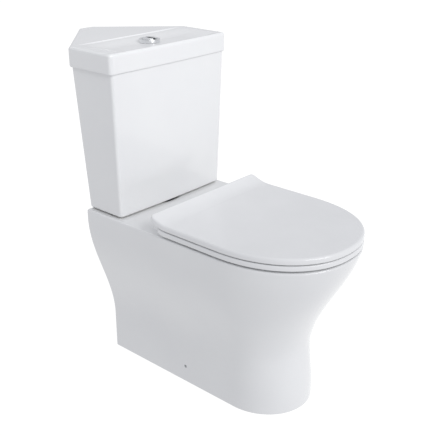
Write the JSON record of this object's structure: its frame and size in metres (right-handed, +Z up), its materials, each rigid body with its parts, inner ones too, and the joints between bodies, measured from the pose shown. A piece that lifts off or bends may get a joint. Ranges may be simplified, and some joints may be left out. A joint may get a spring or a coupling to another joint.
{
  "type": "close coupled toilet",
  "caption": "Close-coupled corner toilet: shrouded pan, five-sided tapered cistern with lift-off lid and dual flush button, hinged soft-close seat and lid.",
  "frame": {"origin": "on the floor, midway between the front of the rim and the back of the cistern, in the middle plane", "axes": "+Z up, -Y towards the front of the bowl, +Y towards the room's corner, +X to the right seen from the front"},
  "size_m": [0.364, 0.789, 0.778],
  "materials": {
    "china": "white glazed vitreous china",
    "seat_plastic": "white gloss moulding",
    "chrome_plate": "bright chrome plate",
    "steel": "plain stainless fixings",
    "brass": "turned brass",
    "rubber": "black sealing rubber",
    "clear_rubber": "pale soft buffers",
    "white_fitting": "white moulded fittings",
    "blue_fitting": "blue moulded fittings",
    "grey_fitting": "grey moulded fittings"
  },
  "bodies": {
    "pan": {"cistern_tank": "china", "coupling_bolt_left": "steel", "coupling_bolt_right": "steel", "coupling_seal_left": "rubber", "coupling_seal_right": "rubber", "coupling_washer_left": "steel", "coupling_washer_right": "steel", "doughnut_seal": "rubber", "fill_valve_head": "blue_fitting", "fill_valve_nut": "brass", "fill_valve_seal": "rubber", "fill_valve_stem": "white_fitting", "floor_bracket_left": "steel", "floor_bracket_right": "steel", "flush_valve_backnut": "white_fitting", "flush_valve_base": "white_fitting", "flush_valve_seal": "rubber", "flush_valve_tower": "white_fitting", "hinge_nut_left": "steel", "hinge_nut_right": "steel", "hinge_pin_left": "steel", "hinge_pin_right": "steel", "hinge_post_left": "white_fitting", "hinge_post_right": "white_fitting", "hinge_stud_left": "steel", "hinge_stud_right": "steel", "hinge_washer_left": "rubber", "hinge_washer_right": "rubber", "pan": "china", "side_screw_left": "steel", "side_screw_right": "steel", "wing_nut_left": "steel", "wing_nut_right": "steel"},
    "seat_ring": {"seat_ring": "seat_plastic", "seat_buffer_front_left": "clear_rubber", "seat_buffer_front_right": "clear_rubber", "seat_buffer_rear_left": "clear_rubber", "seat_buffer_rear_right": "clear_rubber"},
    "seat_lid": {"seat_lid": "seat_plastic", "lid_buffer_front_left": "clear_rubber", "lid_buffer_front_right": "clear_rubber", "lid_buffer_rear_left": "clear_rubber", "lid_buffer_rear_right": "clear_rubber"},
    "cistern_lid": {"cistern_lid": "china", "button_collar": "chrome_plate", "button_nut": "white_fitting"},
    "button_full": {"button_full": "chrome_plate", "push_rod_full": "blue_fitting"},
    "button_half": {"button_half": "chrome_plate", "push_rod_half": "grey_fitting"},
    "valve_piston": {"flush_valve_piston": "blue_fitting", "piston_seal": "rubber"},
    "float_cup": {"float_cup": "grey_fitting"}
  },
  "joints": [
    {"name": "seat_ring_hinge", "type": "hinge", "parent": "pan", "child": "seat_ring", "pos_m": [0, -0.0115, 0.423], "axis": [-1, 0, 0], "range_deg": [0, 98]},
    {"name": "seat_lid_hinge", "type": "hinge", "parent": "seat_ring", "child": "seat_lid", "pos_m": [0, -0.0115, 0.423], "axis": [1, 0, 0], "range_deg": [-104, 0]},
    {"name": "cistern_lid_lift", "type": "slide", "parent": "pan", "child": "cistern_lid", "axis": [0, 0, 1], "range_m": [0, 0.15]},
    {"name": "full_flush_press", "type": "slide", "parent": "cistern_lid", "child": "button_full", "axis": [0, 0, -1], "range_m": [0, 0.0055], "stiffness_N_per_m": 400, "springref_m": -0.008},
    {"name": "half_flush_press", "type": "slide", "parent": "cistern_lid", "child": "button_half", "axis": [0, 0, -1], "range_m": [0, 0.0055], "stiffness_N_per_m": 400, "springref_m": -0.008},
    {"name": "valve_lift", "type": "slide", "parent": "pan", "child": "valve_piston", "axis": [0, 0, 1], "range_m": [0, 0.0143]},
    {"name": "float_rise", "type": "slide", "parent": "pan", "child": "float_cup", "axis": [0, 0, 1], "range_m": [0, 0.085]}
  ],
  "couplings": [
    {"joint": "valve_lift", "follows": "full_flush_press", "ratio": 2.6}
  ]
}
